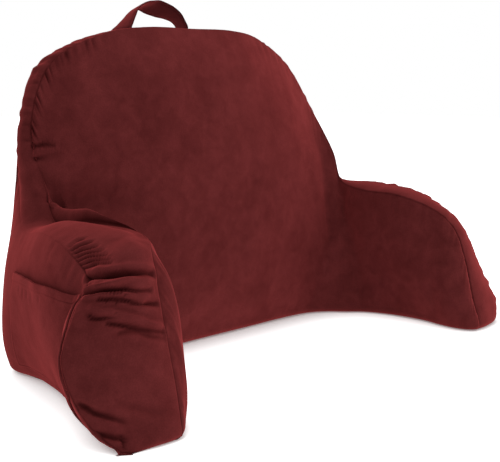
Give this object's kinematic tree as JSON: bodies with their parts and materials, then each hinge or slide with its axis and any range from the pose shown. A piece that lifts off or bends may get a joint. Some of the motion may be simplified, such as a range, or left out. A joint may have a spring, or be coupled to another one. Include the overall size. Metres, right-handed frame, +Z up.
{
  "type": "reading pillow with arms",
  "caption": "Filled back cushion with forward-reaching arms, a strap handle at the top and a patch pocket on the arm on the left as seen from the front.",
  "frame": {"origin": "middle of the outline on the floor, at the flat base", "axes": "+X across the pillow, towards the arm on the right as seen from the front, -Y the way the arms reach, +Z up"},
  "size_m": [0.7592, 0.3812, 0.4527],
  "materials": {
    "cover": "maroon brushed suede-look cloth with a soft mottled nap, sewn with matching thread",
    "pocket": "the same cloth, hemmed along the mouth",
    "strap": "the same cloth folded into a flat strap with stitched edges"
  },
  "bodies": {
    "root": {"pillow_body": "cover", "side_pocket": "pocket", "carry_handle": "strap"}
  },
  "joints": []
}
